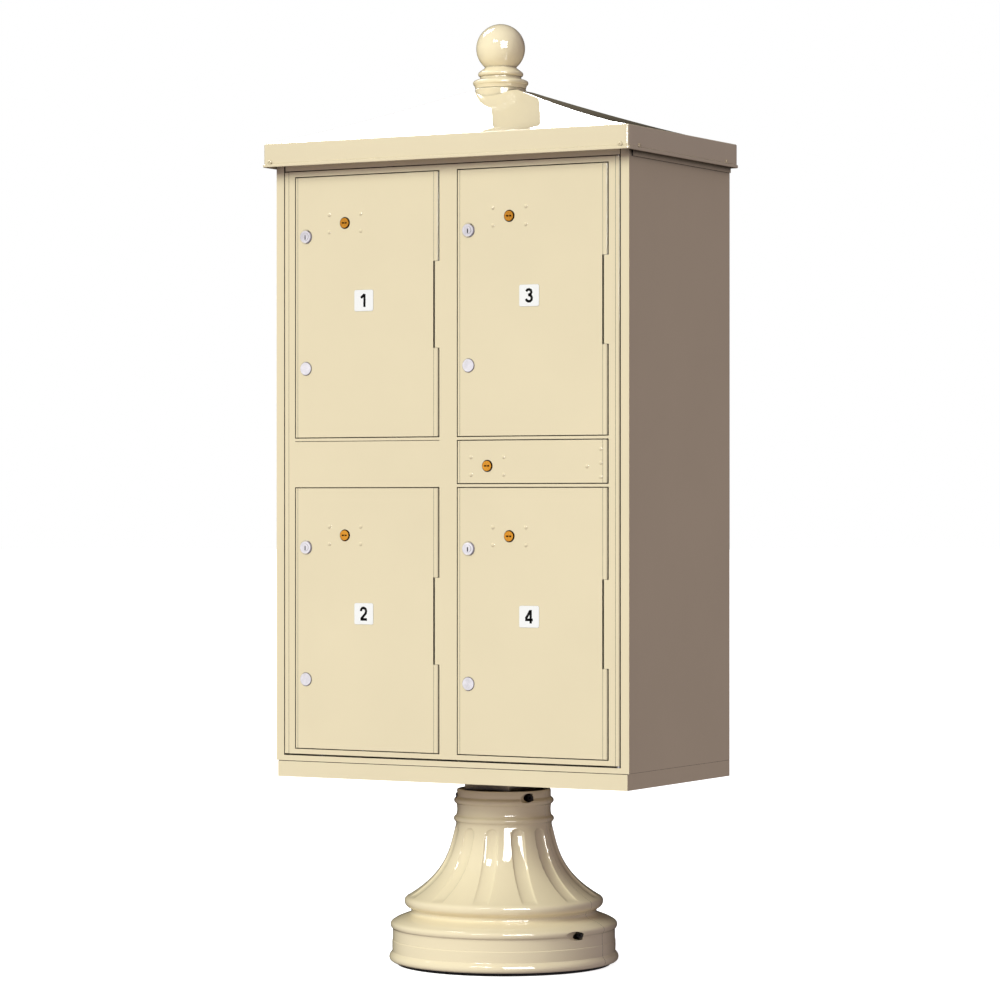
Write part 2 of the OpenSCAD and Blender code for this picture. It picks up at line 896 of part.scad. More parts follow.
// The tenant lock's body, with a tapered collar on the door's face and a hex nut behind it.
module lock_body() {
  y1 = front_y + 15.2;
  color(chrome) {
    difference() {
      union() {
        rod_y(lock_u, lock_v, 13.5, front_y - 0.9, front_y);
        translate([lock_u, front_y - 0.8, lock_v])
          rotate([90, 0, 0])
            cylinder(r1 = 13.5, r2 = 11.7, h = 2.2);
        rod_y(lock_u, lock_v, 9.5, front_y - 0.5, y1);
      }
      rod_y(lock_u, lock_v, 7 + run, front_y - 4, y1 + 1);
    }
    difference() {
      translate([lock_u, front_y + plate, lock_v])
        rotate([-90, 0, 0])
          cylinder(r = 13.6, h = 5, $fn = 6);
      rod_y(lock_u, lock_v, 9.5 + run, front_y, front_y + 12);
    }
  }
}

// The tenant lock's plug with its cam, which hangs down when the door is free.
module key_plug() {
  cam_y = front_y + 18.3;
  color(chrome)
    difference() {
      union() {
        rod_y(lock_u, lock_v, 7, front_y - 3.5, front_y + 15.4);
        rod_y(lock_u, lock_v, 5.5, front_y + 15, cam_y + 3.5);
        rod_y(lock_u, lock_v, 7, cam_y, cam_y + 2);
        slab(lock_u - 7, lock_u + 7, cam_y, cam_y + 2, lock_v - 25, lock_v);
        rod_y(lock_u, lock_v - 25, 7, cam_y, cam_y + 2);
      }
      slab(lock_u - 1.1, lock_u + 1.1, front_y - 4, front_y + 5, lock_v - 5.5, lock_v + 3);
    }
}

// The plug that closes the door's spare lock hole.
module blank_plug() {
  color(chrome) {
    rod_y(lock_u, blank_v, 13, front_y - 1, front_y);
    translate([lock_u, front_y - 1, blank_v])
      rotate([90, 0, 0])
        cylinder(r1 = 13, r2 = 12, h = 0.8);
    rod_y(lock_u, blank_v, 9.5, front_y - 0.5, front_y + 9);
  }
}

// ---------- small lock door ----------

module on_band() {
  translate([right_col, 0, band_row])
    children();
}

module arrow_door() {
  color(cream)
    on_band()
      difference() {
        door_blank(band_h, false);
        rod_y(small_uv[0], small_uv[1], 11.5, front_y - 1, front_y + plate + 1);
        rivet_holes(small_uv);
        for (p = leaf_rivets)
          rod_y(p[0], p[1], 2, front_y - 1, front_y + plate + 1);
      }
}

module arrow_door_rivets() {
  color(cream)
    on_band() {
      rivet_set(small_uv);
      for (p = leaf_rivets)
        rivet(p[0], p[1], plate);
    }
}

// ---------- what is drawn ----------

cabinet_shell();
hood();
cabinet_floor();
center_partition();
upper_shelf();
lower_shelf();
roof_cap();
roof_screws();
finial();
finial_stud();
pedestal_post();
cabinet_bolts();
base_pad();
cover_front();
cover_back();
cover_screws();
master_pivots();
master_frame();
filler_panel();
hinge_pins();
latch_guides();
latch_bar();
arrow_door();
on_band() arrow_case(small_uv, 20);  // arrow_door_case
on_band() arrow_plug(small_uv);  // arrow_door_plug
on_band() arrow_bolt(small_uv);  // arrow_door_bolt
arrow_door_rivets();
on_door(1) color(cream) parcel_door();  // door_1
on_door(1) lock_body();  // lock_body_1
on_door(1) key_plug();  // key_plug_1
on_door(1) blank_plug();  // blank_plug_1
on_door(1) arrow_case(arrow_uv, 20);  // arrow_case_1
on_door(1) arrow_plug(arrow_uv);  // arrow_plug_1
on_door(1) arrow_bolt(arrow_uv);  // arrow_bolt_1
on_door(1) rivet_set(arrow_uv);  // rivets_1
on_door(2) color(cream) parcel_door();  // door_2
on_door(2) lock_body();  // lock_body_2
on_door(2) key_plug();  // key_plug_2
on_door(2) blank_plug();  // blank_plug_2
on_door(2) arrow_case(arrow_uv, 20);  // arrow_case_2
on_door(2) arrow_plug(arrow_uv);  // arrow_plug_2
on_door(2) arrow_bolt(arrow_uv);  // arrow_bolt_2
on_door(2) rivet_set(arrow_uv);  // rivets_2
on_door(3) color(cream) parcel_door();  // door_3
on_door(3) lock_body();  // lock_body_3
on_door(3) key_plug();  // key_plug_3
on_door(3) blank_plug();  // blank_plug_3
on_door(3) arrow_case(arrow_uv, 20);  // arrow_case_3
on_door(3) arrow_plug(arrow_uv);  // arrow_plug_3
on_door(3) arrow_bolt(arrow_uv);  // arrow_bolt_3
on_door(3) rivet_set(arrow_uv);  // rivets_3
on_door(4) color(cream) parcel_door();  // door_4
on_door(4) lock_body();  // lock_body_4
on_door(4) key_plug();  // key_plug_4
on_door(4) blank_plug();  // blank_plug_4
on_door(4) arrow_case(arrow_uv, 20);  // arrow_case_4
on_door(4) arrow_plug(arrow_uv);  // arrow_plug_4
on_door(4) arrow_bolt(arrow_uv);  // arrow_bolt_4
on_door(4) rivet_set(arrow_uv);  // rivets_4
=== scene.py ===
# Looks for the pedestal parcel locker: camera, light, paint and the shaped pieces.
import json
import math

import bmesh
import bpy
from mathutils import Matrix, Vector

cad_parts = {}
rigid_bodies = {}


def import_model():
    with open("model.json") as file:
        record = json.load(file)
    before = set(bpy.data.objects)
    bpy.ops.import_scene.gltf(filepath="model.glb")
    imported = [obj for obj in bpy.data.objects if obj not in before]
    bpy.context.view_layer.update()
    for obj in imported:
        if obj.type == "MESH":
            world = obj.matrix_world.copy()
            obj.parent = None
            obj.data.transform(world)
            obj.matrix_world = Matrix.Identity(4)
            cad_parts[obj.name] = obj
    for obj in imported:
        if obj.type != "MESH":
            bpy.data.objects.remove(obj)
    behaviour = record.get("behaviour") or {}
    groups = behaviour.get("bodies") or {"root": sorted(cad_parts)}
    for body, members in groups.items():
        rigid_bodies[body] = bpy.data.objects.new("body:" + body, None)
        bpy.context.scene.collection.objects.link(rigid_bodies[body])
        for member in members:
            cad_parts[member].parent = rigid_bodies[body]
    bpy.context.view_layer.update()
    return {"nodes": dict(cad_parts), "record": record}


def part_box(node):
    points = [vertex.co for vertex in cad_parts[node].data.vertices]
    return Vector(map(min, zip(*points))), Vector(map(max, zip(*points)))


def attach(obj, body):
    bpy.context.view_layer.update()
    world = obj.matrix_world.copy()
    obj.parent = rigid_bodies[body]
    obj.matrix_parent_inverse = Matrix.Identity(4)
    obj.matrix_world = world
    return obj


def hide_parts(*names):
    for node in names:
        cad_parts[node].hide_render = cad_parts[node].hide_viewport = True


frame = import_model()
record = frame["record"]
nodes = frame["nodes"]

MM = 0.001
PARCEL_DOORS = range(1, 5)


# ---------- materials ----------

# Painted shade covers a place fully when it is no more open than this, from 0 (shut in) to 1
# (open).
PAINTED_SHADE_FULL = 0.34


class Nodes:
    """A short way to write a material's node tree."""

    def __init__(self, name):
        self.mat = bpy.data.materials.new(name)
        self.mat.use_nodes = True
        self.tree = self.mat.node_tree
        self.tree.nodes.clear()
        self.out = self.add("ShaderNodeOutputMaterial")
        self.bsdf = self.add("ShaderNodeBsdfPrincipled")
        self.link(self.bsdf.outputs[0], self.out.inputs["Surface"])
        coord = self.add("ShaderNodeTexCoord")
        self.place = coord.outputs["Object"]

    def add(self, kind, **props):
        node = self.tree.nodes.new(kind)
        for key, value in props.items():
            setattr(node, key, value)
        return node

    def link(self, a, b):
        self.tree.links.new(a, b)

    def noise(self, scale, detail=3.0, rough=0.55, stretch=(1, 1, 1)):
        """Noise fixed to the piece, stretched along its axes."""
        mapping = self.add("ShaderNodeMapping")
        mapping.inputs["Scale"].default_value = stretch
        self.link(self.place, mapping.inputs["Vector"])
        tex = self.add("ShaderNodeTexNoise")
        tex.inputs["Scale"].default_value = scale
        tex.inputs["Detail"].default_value = detail
        tex.inputs["Roughness"].default_value = rough
        self.link(mapping.outputs[0], tex.inputs["Vector"])
        return tex.outputs["Fac"]

    def blend(self, fac, low_colour, high_colour, low=0.3, high=0.7):
        """Goes from one colour to the other while fac goes from low to high."""
        node = self.add("ShaderNodeValToRGB")
        stops = ((low, low_colour), (high, high_colour))
        for element, (pos, colour) in zip(node.color_ramp.elements, stops):
            element.position = pos
            element.color = (*colour, 1)
        self.link(fac, node.inputs[0])
        return node.outputs[0]

    def span(self, fac, low, high):
        node = self.add("ShaderNodeMapRange")
        node.inputs["To Min"].default_value = low
        node.inputs["To Max"].default_value = high
        self.link(fac, node.inputs["Value"])
        return node.outputs[0]

    def bump(self, height, strength, distance):
        node = self.add("ShaderNodeBump")
        node.inputs["Strength"].default_value = strength
        node.inputs["Distance"].default_value = distance
        self.link(height, node.inputs["Height"])
        return node.outputs[0]

    def painted_shade(self, tone, shade_colour, reach, open_at):
        """The tone, darkened to a painted shade colour where ambient occlusion finds other
        surfaces within reach, in metres.

        A place that is as open as open_at, or more, gets no painted shade.
        """
        gap = self.add("ShaderNodeAmbientOcclusion", samples=8)
        gap.inputs["Distance"].default_value = reach
        mask = self.add("ShaderNodeMapRange", interpolation_type="SMOOTHSTEP")
        mask.inputs["From Min"].default_value = PAINTED_SHADE_FULL
        mask.inputs["From Max"].default_value = open_at
        mask.inputs["To Min"].default_value = 1.0
        mask.inputs["To Max"].default_value = 0.0
        self.link(gap.outputs["AO"], mask.inputs["Value"])
        mix = self.add("ShaderNodeMix", data_type="RGBA")
        self.link(mask.outputs[0], mix.inputs[0])
        self.link(tone, mix.inputs[6])
        mix.inputs[7].default_value = (*shade_colour, 1)
        return mix.outputs[2]

    def surface(self, tone, roughness, normal, **values):
        """Joins the parts up and sets the shader's other values."""
        self.link(tone, self.bsdf.inputs["Base Color"])
        self.link(roughness, self.bsdf.inputs["Roughness"])
        self.link(normal, self.bsdf.inputs["Normal"])
        for key, value in values.items():
            self.bsdf.inputs[key.replace("_", " ")].default_value = value
        return self.mat


def shade(colour, k):
    return tuple(min(1.0, c * k) for c in colour)


def paint(name, colour, rough=0.3, peel=0.10, coat=1.0, coat_rough=0.03,
          reach=0.012, open_at=0.92):
    """Powder coat: faint mottling, orange peel, and painted shade that darkens narrow gaps and
    recesses.
    """
    m = Nodes(name)
    slow = m.noise(3.0, 4.0)
    fine = m.noise(260.0)
    skin = m.noise(900.0, 2.0, 0.5)
    tone = m.blend(slow, shade(colour, 0.975), shade(colour, 1.02))
    return m.surface(
        # Painted shade: a near-black, slightly red colour where other surfaces come close.
        m.painted_shade(tone, (0.012, 0.009, 0.008), reach, open_at),
        m.span(fine, rough - 0.04, rough + 0.05),
        m.bump(skin, peel, 0.0003),
        Coat_Weight=coat, Coat_Roughness=coat_rough, Specular_IOR_Level=0.0,
    )


def metal(name, colour, rough, streak=(1, 1, 1), scale=400.0, strength=0.1, metallic=1.0):
    """Bare or plated metal with fine brushed or cast grain."""
    m = Nodes(name)
    grain = m.noise(scale, 4.0, 0.6, streak)
    patchy = m.noise(60.0)
    tone = m.blend(patchy, shade(colour, 0.88), shade(colour, 1.06))
    return m.surface(
        # Painted shade: near-black where crevices such as keyways and slots close in.
        m.painted_shade(tone, (0.006, 0.005, 0.005), 0.007, 0.9),
        m.span(grain, rough * 0.8, rough * 1.25),
        m.bump(grain, strength, 0.0002),
        Metallic=metallic,
    )


def rubber_mat(name):
    """Matte black rubber with a coarse, uneven grain."""
    m = Nodes(name)
    grain = m.noise(500.0, 4.0)
    patchy = m.noise(20.0, 4.0)
    return m.surface(
        m.blend(patchy, (0.006, 0.006, 0.006), (0.016, 0.015, 0.014), high=0.75),
        m.span(grain, 0.7, 0.9),
        m.bump(grain, 0.3, 0.0004),
    )


CREAM = (0.80, 0.70, 0.48)
SHEET = {"rough": 0.32, "peel": 0.08, "coat": 0.35}
MATERIALS = {
    "cream_paint": paint("paint_sheet", CREAM, **SHEET),
    "cast_paint": paint("paint_cast", CREAM, peel=0.03, coat_rough=0.008,
                        reach=0.007, open_at=0.84),
    "rubber": rubber_mat("rubber_pad"),
    "chrome": metal("chrome_plate", (0.90, 0.90, 0.91), 0.16, scale=300.0, strength=0.03),
    "brass": metal("brass_face", (0.98, 0.43, 0.05), 0.26, scale=500.0),
    "steel": metal("zinc_steel", (0.62, 0.62, 0.63), 0.34, (1, 1, 0.1), strength=0.15),
    "case_steel": metal("case_oxide", (0.05, 0.045, 0.04), 0.5, strength=0.2, metallic=0.4),
    "black_steel": metal("black_oxide", (0.03, 0.03, 0.03), 0.4, metallic=0.6),
}
# Nodes whose cream paint gets its painted shade over a longer or a shorter way: the post under
# the cabinet and the shell and hood beneath the roof's hem darken further out, and the screws
# get almost none.
OWN_PAINT = {
    "pedestal_post": paint("paint_post", CREAM, reach=0.09),
    "cabinet_shell": paint("paint_shell", CREAM, reach=0.03, **SHEET),
    "hood": paint("paint_hood", CREAM, reach=0.034, **SHEET),
    "roof_screws": paint("paint_screws", CREAM, rough=0.32, peel=0.03, coat=0.35,
                         reach=0.001, open_at=0.6),
}
ROOF_PAINT = paint("paint_roof", CREAM, peel=0.02, coat_rough=0.006)
LABEL = paint("label_plate", (0.90, 0.90, 0.88), rough=0.35, peel=0.12,
              coat=0.2, coat_rough=0.2)
INK = paint("label_ink", (0.012, 0.012, 0.012), rough=0.45, peel=0.2, coat=0.0)


# ---------- CAD nodes ----------

def soften(obj, width):
    """Rounds a CAD node's sharp edges with modifiers; its own mesh stays as it is."""
    flat = obj.modifiers.new("flatten", "DECIMATE")
    flat.decimate_type = "DISSOLVE"
    flat.angle_limit = math.radians(0.5)
    bevel = obj.modifiers.new("round", "BEVEL")
    bevel.width = width
    bevel.segments = 2
    bevel.limit_method = "ANGLE"
    bevel.angle_limit = math.radians(35)
    bevel.harden_normals = False
    bevel.use_clamp_overlap = True
    bevel.miter_outer = "MITER_ARC"
    normals = obj.modifiers.new("normals", "WEIGHTED_NORMAL")
    normals.keep_sharp = True
    for poly in obj.data.polygons:
        poly.use_smooth = True


# How wide the edges are rounded, in millimetres. The small fasteners get SMALL_EDGE.
SMALL_EDGE = 0.2
EDGE = {
    "cabinet_shell": 0.4, "hood": 0.5, "cabinet_floor": 0.6, "master_frame": 0.6,
    "filler_panel": 0.6, "arrow_door": 0.6, "center_partition": 0.4, "upper_shelf": 0.5,
    "lower_shelf": 0.5, "pedestal_post": 1.5, "latch_bar": 0.5, "latch_guides": 0.4,
    "base_pad": 1.0, "arrow_door_case": 0.8, "arrow_door_bolt": 0.5,
    "arrow_door_plug": 0.25,
}
DOOR_EDGE = {
    "door": 0.6, "arrow_case": 0.8, "arrow_bolt": 0.5, "lock_body": 0.5,
    "key_plug": 0.25, "blank_plug": 0.3, "arrow_plug": 0.25,
}
for k in PARCEL_DOORS:
    EDGE.update({f"{kind}_{k}": width for kind, width in DOOR_EDGE.items()})

slots = {part["node"]: part["material_slot"] for part in record["subparts"]}
for name, obj in nodes.items():
    obj.data.materials.clear()
    obj.data.materials.append(OWN_PAINT.get(name) or MATERIALS[slots[name]])
    soften(obj, EDGE.get(name, SMALL_EDGE) * MM)


# ---------- helpers for the shaped pieces ----------

def add_object(name, bm):
    """Puts a bmesh into the scene as an object."""
    mesh = bpy.data.meshes.new(name)
    bm.to_mesh(mesh)
    bm.free()
    obj = bpy.data.objects.new(name, mesh)
    bpy.context.scene.collection.objects.link(obj)
    return obj


def put(name, bm, material, body, angle=30):
    """Turns a bmesh into a piece that rides on a body, sharp above the angle."""
    bmesh.ops.remove_doubles(bm, verts=bm.verts, dist=1e-6)
    bmesh.ops.recalc_face_normals(bm, faces=bm.faces)
    limit = math.radians(angle)
    for face in bm.faces:
        face.smooth = True
    for edge in bm.edges:
        edge.smooth = len(edge.link_faces) != 2 or edge.calc_face_angle(0) < limit
    obj = add_object(name, bm)
    obj.data.materials.append(material)
    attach(obj, body)
    return obj


def circle(cx, cy, r, a0, a1, n):
    """Points on an arc about (cx, cy), from angle a0 to a1 in degrees."""
    points = []
    for i in range(n + 1):
        a = math.radians(a0 + (a1 - a0) * i / n)
        points.append((cx + r * math.cos(a), cy + r * math.sin(a)))
    return points


def curve(points, steps):
    """A smooth line through the points."""
    out = []
    last = len(points) - 1
    for i in range(last):
        ends = (points[max(i - 1, 0)], points[i], points[i + 1], points[min(i + 2, last)])
        for s in range(steps):
            t = s / steps
            out.append(tuple(
                0.5 * (
                    2 * b + (c - a) * t + (2 * a - 5 * b + 4 * c - d) * t * t
                    + (3 * b - a - 3 * c + d) * t ** 3
                )
                for a, b, c, d in zip(*ends)
            ))
    out.append(points[-1])
    return out


def join_loops(bm, loops):
    """Fills between each closed loop and the next with quads."""
    for a, b in zip(loops, loops[1:]):
        for i in range(len(a)):
            j = (i + 1) % len(a)
            bm.faces.new((a[i], a[j], b[j], b[i]))


def close_loop(bm, loop, point):
    """Fills a closed loop with a fan of triangles to one point."""
    for i in range(len(loop)):
        bm.faces.new((loop[i], loop[(i + 1) % len(loop)], point))


def turn(bm, profile, centre, turns=128):
    """A closed body of revolution whose profile starts and ends on the axis."""
    ends = [bm.verts.new((centre[0], centre[1], z * MM)) for _, z in (profile[0], profile[-1])]
    rings = []
    for r, z in profile[1:-1]:
        rings.append([
            bm.verts.new((
                centre[0] + r * MM * math.cos(math.tau * i / turns),
                centre[1] + r * MM * math.sin(math.tau * i / turns),
                z * MM,
            ))
            for i in range(turns)
        ])
    join_loops(bm, rings)
    close_loop(bm, rings[0], ends[0])
    close_loop(bm, rings[-1], ends[1])


# ---------- base cover: two halves with the scooped flutes ----------

# The outside from the neck's rim down to the foot, as (radius, height).
PLINTH = (
    [(89.0, 341.0), (91.0, 340.4), (91.8, 338.6), (91.8, 326.4), (93.2, 325.2)]
    + circle(91.4, 318.6, 6.1, 62, -62, 10)
    + curve([(92.6, 311.6), (91.8, 307.0), (91.5, 300.0), (92.2, 293.5), (93.4, 290.0)], 3)
    + circle(91.8, 283.2, 6.2, 62, -62, 10)
    + curve([(93.8, 275.6), (93.6, 272.5), (94.4, 268.5), (95.6, 264.0)], 3)
    + [
        (96.6 + 94.0 * (0.33 * t + 0.67 * t ** 3), 260.0 - 130.0 * t)
        for t in [i / 46 for i in range(1, 46)]
    ]
    + curve([
        (190.0, 130.6), (193.0, 127.2), (194.0, 122.5), (192.8, 117.0), (189.0, 112.4),
        (184.2, 109.4),
    ], 4)
    + curve([(181.6, 107.2), (181.0, 103.4), (182.2, 100.2), (185.8, 97.8)], 3)
    + curve([(188.0, 96.9), (198.0, 93.4), (208.0, 89.4), (216.0, 85.0)], 4)
    + curve([(218.6, 83.2), (220.8, 80.2), (221.2, 76.4), (220.0, 72.4), (217.6, 70.2)], 3)
    + curve([(217.0, 68.8), (216.9, 58.0), (217.0, 47.6)], 2)
    + curve([(218.0, 46.4), (218.1, 36.0), (217.8, 25.8)], 2)
    + curve([(219.0, 23.6), (222.4, 19.6), (223.9, 14.2), (222.6, 9.4), (219.8, 6.9)], 4)
)
# The inside, from the foot back up to the rim.
INSIDE = [
    (211.0, 6.9), (211.0, 66.0), (204.0, 80.0), (174.0, 86.0), (174.0, 112.0),
    (170.0, 124.0), (140.0, 148.0), (118.0, 176.0), (103.0, 205.0), (92.0, 235.0),
    (88.0, 262.0), (86.5, 280.0), (86.5, 341.0),
]
FLUTE_TOP = 268.5
FLUTE_FOOT = 133.0
FLUTE_COUNT = 12
FLUTE_DEPTH = 4.6
FLUTE_HALF_WIDTH = 13.4
SEAM = 0.0018  # half the gap between the halves, as an angle
COVER_STEPS = 400

POCKET_R = 9.0
SCREW_HOLE_R = 3.3
DRILL_FRONT = -260
DRILL_END = 40
SCREW_HEAD_R = 5.5
UPPER_SCREW_X = 80
LOWER_POCKET_FLOOR = -62.2
UPPER_POCKET_FLOOR = -36.2


def flute_depth(angle, r, z):
    """How far the surface is scooped in at this place, in millimetres."""
    if not FLUTE_FOOT < z < FLUTE_TOP:
        return 0.0
    pitch = math.tau / FLUTE_COUNT
    across = abs((angle % pitch) - pitch / 2) * r
    half = FLUTE_HALF_WIDTH + 1.6 * (FLUTE_TOP - z) / (FLUTE_TOP - FLUTE_FOOT)
    down = FLUTE_TOP - z
    reach = half
    if down < half:
        reach = math.sqrt(max(0.0, half * half - (half - down) ** 2))
    if across >= reach:
        return 0.0
    scoop = 1 - (across / reach) ** 2
    ease = min(1.0, (z - FLUTE_FOOT) / 3.0)
    return FLUTE_DEPTH * scoop ** 0.55 * ease * min(1.0, 0.35 + down / 14.0)


def cover_half(start):
    """One cast half, from angle start through 180 degrees, with a hair of gap at the seam."""
    bm = bmesh.new()
    columns = []
    for i in range(COVER_STEPS + 1):
        a = start + SEAM + (math.pi - 2 * SEAM) * i / COVER_STEPS
        outline = [(r - flute_depth(a, r, z), z) for r, z in PLINTH] + INSIDE
        columns.append([
            bm.verts.new((r * MM * math.cos(a), r * MM * math.sin(a), z * MM))
            for r, z in outline
        ])
    join_loops(bm, columns)
    bm.faces.new(columns[0])
    bm.faces.new(list(reversed(columns[-1])))
    return bm


def drill(obj, holes):
    """Cuts stepped screw pockets along Y: (x, z, pocket's floor y), in millimetres."""
    bm = bmesh.new()
    spokes = circle(0, 0, 1, 0, 360, 48)[:-1]
    for x, z, floor_y in holes:
        steps = (
            (DRILL_FRONT, POCKET_R), (floor_y, POCKET_R),
            (floor_y, SCREW_HOLE_R), (DRILL_END, SCREW_HOLE_R),
        )
        rings = [
            [bm.verts.new(((x + r * c) * MM, y * MM, (z + r * s) * MM)) for c, s in spokes]
            for y, r in steps
        ]
        join_loops(bm, rings)
        bm.faces.new(list(reversed(rings[0])))
        bm.faces.new(rings[-1])
    bmesh.ops.recalc_face_normals(bm, faces=bm.faces)
    cutter = add_object("drill", bm)
    cut = obj.modifiers.new("pockets", "BOOLEAN")
    cut.operation = "DIFFERENCE"
    cut.solver = "EXACT"
    cut.object = cutter
    bpy.context.view_layer.update()
    graph = bpy.context.evaluated_depsgraph_get()
    result = bpy.data.meshes.new_from_object(obj.evaluated_get(graph))
    obj.modifiers.clear()
    obj.data = result
    bpy.data.objects.remove(cutter)


CAST = MATERIALS["cast_paint"]
screws_lo, screws_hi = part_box("cover_screws")
lower_screw_x = screws_hi.x / MM - SCREW_HEAD_R
lower_screw_z = screws_lo.z / MM + SCREW_HEAD_R
upper_screw_z = screws_hi.z / MM - SCREW_HEAD_R
pockets = []
for side in (-1, 1):
    pockets.append((side * lower_screw_x, lower_screw_z, LOWER_POCKET_FLOOR))
    pockets.append((side * UPPER_SCREW_X, upper_screw_z, UPPER_POCKET_FLOOR))

front_half = put("cover_front_cast", cover_half(math.pi), CAST, "cabinet")
drill(front_half, pockets)
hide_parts("cover_front")
back_half = put("cover_back_cast", cover_half(0.0), CAST, "cabinet")
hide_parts("cover_back")


# ---------- finial: turned foot and ball ----------

BALL_R = 47.6
BALL_NECK_R = 30.2

roof_lo, roof_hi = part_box("roof_cap")
finial_lo, finial_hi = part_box("finial")
axis_y = (finial_lo.y + finial_hi.y) / 2


def finial_profile():
    """The finial's outline from the middle of its foot up to the top of the ball."""
    foot = finial_lo.z / MM
    ball = finial_hi.z / MM - BALL_R - 0.1
    ball_start = -math.degrees(math.acos(BALL_NECK_R / BALL_R))

    def above(*points):
        return [(r, foot + z) for r, z in points]

    return (
        above((0, 0), (48.6, 0), (49.6, 0.8), (49.8, 3.4), (50.6, 4.6))
        + circle(49.0, foot + 11.4, 5.0, -62, 80, 12)
        + curve(above((47.5, 17.4), (43.0, 18.6), (40.4, 20.6), (39.8, 23.0)), 3)
        + circle(39.2, foot + 28.8, 4.9, -68, 60, 12)
        + curve(above((40.4, 34.2), (36.0, 37.4), (32.4, 39.8), (30.6, 42.0)), 3)
        + circle(0, ball, BALL_R, ball_start, 90, 60)[1:-1]
        + [(0, ball + BALL_R)]
    )


bm = bmesh.new()
turn(bm, finial_profile(), (0, axis_y))
finial = put("finial_turned", bm, CAST, "cabinet", 32)
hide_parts("finial")


# ---------- roof: fascia with a rolled hem, a sagging hipped skin and the boss ----------

HEM_OUT = 2.4
EAVE_RISE = 46.2
EAVE_R = 2.6
CORNER_R = 6
CORNER_STEPS = 12
RUN_STEPS = 40
ROOF_WALL = 2.3
SKIN_DEPTH = 4.5
CROWN = 0.12
BOSS_R = 50.0

# The hem's outside from the bottom edge up, as (how far out, height).
HEM = [(1.6, 0.0), (2.2, 0.3), (2.4, 0.9), (2.4, 4.4), (2.1, 5.2), (0.4, 6.0), (0.0, 6.6)]


def roof_piece():
    bm = bmesh.new()
    half_w = (roof_hi.x - roof_lo.x) / 2 / MM - HEM_OUT
    half_d = (roof_hi.y - roof_lo.y) / 2 / MM - HEM_OUT
    cy = axis_y / MM
    base = roof_lo.z / MM
    eave = base + EAVE_RISE

    def ring(w, d, z, r):
        """A loop round the roof, w and d from the middle, with corners of radius r."""
        corners = [
            circle(sx * (w - r), sy * (d - r), r, a, a + 90, CORNER_STEPS)
            for sx, sy, a in ((1, -1, -90), (1, 1, 0), (-1, 1, 90), (-1, -1, 180))
        ]
        points = []
        for n, corner in enumerate(corners):
            points += corner
            (x0, y0), (x1, y1) = corner[-1], corners[(n + 1) % 4][0]
            for i in range(1, RUN_STEPS):
                t = i / RUN_STEPS
                points.append((x0 + (x1 - x0) * t, y0 + (y1 - y0) * t))
        return [bm.verts.new((x * MM, (cy + y) * MM, z * MM)) for x, y in points]

    def slope(u):
        """The skin's height at the fraction u of the way out from the middle."""
        return eave + 102.0 * ((1 - u) / 0.87) ** 1.2

    outer = []
    for out, z in HEM:
        outer.append(ring(half_w + out, half_d + out, base + z, CORNER_R + out))
    for a in range(0, 61, 12):
        pull = EAVE_R * (1 - math.cos(math.radians(a)))
        rise = EAVE_R * math.sin(math.radians(a))
        outer.append(
            ring(half_w - pull, half_d - pull, eave - EAVE_R + rise, CORNER_R - pull * 0.4)
        )
    for u in [0.985, 0.97, 0.94] + [0.9 - 0.04 * i for i in range(20)]:
        outer.append(ring(half_w * u, half_d * u, slope(u) - 0.4, 4.0 * u ** 0.5))
    join_loops(bm, outer)
    close_loop(bm, outer[-1], bm.verts.new((0, cy * MM, slope(CROWN) * MM)))

    in_w, in_d = half_w - ROOF_WALL, half_d - ROOF_WALL
    inner = [ring(in_w, in_d, base, CORNER_R), ring(in_w, in_d, eave - 4, CORNER_R)]
    for u in (0.95, 0.8, 0.6, 0.4, 0.2, 0.121):
        inner.append(ring(in_w * u, in_d * u, slope(u) - SKIN_DEPTH, CORNER_R * u))
    # Reversed loops make faces that look inward.
    inner = [loop[::-1] for loop in inner]
    join_loops(bm, inner)
    close_loop(bm, inner[-1], bm.verts.new((0, cy * MM, (slope(CROWN) - SKIN_DEPTH) * MM)))
    join_loops(bm, [outer[0][::-1], inner[0]])
    return put("roof_formed", bm, ROOF_PAINT, "cabinet", 16)


def boss_piece():
    """The round seat on the crown that carries the finial."""
    top = roof_hi.z / MM
    rim = bmesh.new()
    profile = (
        [(0, top - 24), (BOSS_R - 0.4, top - 24), (BOSS_R - 0.4, top - 3.0)]
        + circle(BOSS_R - 2.6, top - 2.2, 2.2, 0, 90, 6)
        + [(0, top)]
    )
    turn(rim, profile, (0, axis_y))
    put("roof_boss", rim, ROOF_PAINT, "cabinet", 32)


roof = roof_piece()
boss_piece()
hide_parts("roof_cap")


# ---------- compartment labels: a small plate with a plain number on every door ----------

# Strokes in a box of 1 by 1, from the lower left.
DIGITS = {
    1: [[(0.14, 0.70), (0.60, 0.97)], [(0.60, 0.0), (0.60, 1.0)]],
    2: [
        [(0.14, 0.70), (0.18, 0.84), (0.32, 0.94), (0.52, 0.95), (0.72, 0.88),
         (0.82, 0.72), (0.76, 0.54), (0.16, 0.10)],
        [(0.08, 0.07), (0.92, 0.07)],
    ],
    3: [
        [(0.14, 0.80), (0.28, 0.92), (0.50, 0.95), (0.72, 0.88), (0.78, 0.73),
         (0.68, 0.60), (0.40, 0.53)],
        [(0.40, 0.53), (0.70, 0.49), (0.84, 0.34), (0.80, 0.17), (0.62, 0.06),
         (0.40, 0.06), (0.20, 0.12), (0.12, 0.24)],
    ],
    4: [
        [(0.70, 0.0), (0.70, 1.0)], [(0.66, 0.96), (0.10, 0.34)],
        [(0.02, 0.27), (0.96, 0.27)],
    ],
}
PLATE_W = 42.5
PLATE_H = 41.0
PLATE_T = 0.6
PLATE_R = 3.4
DIGIT_W = 17.2
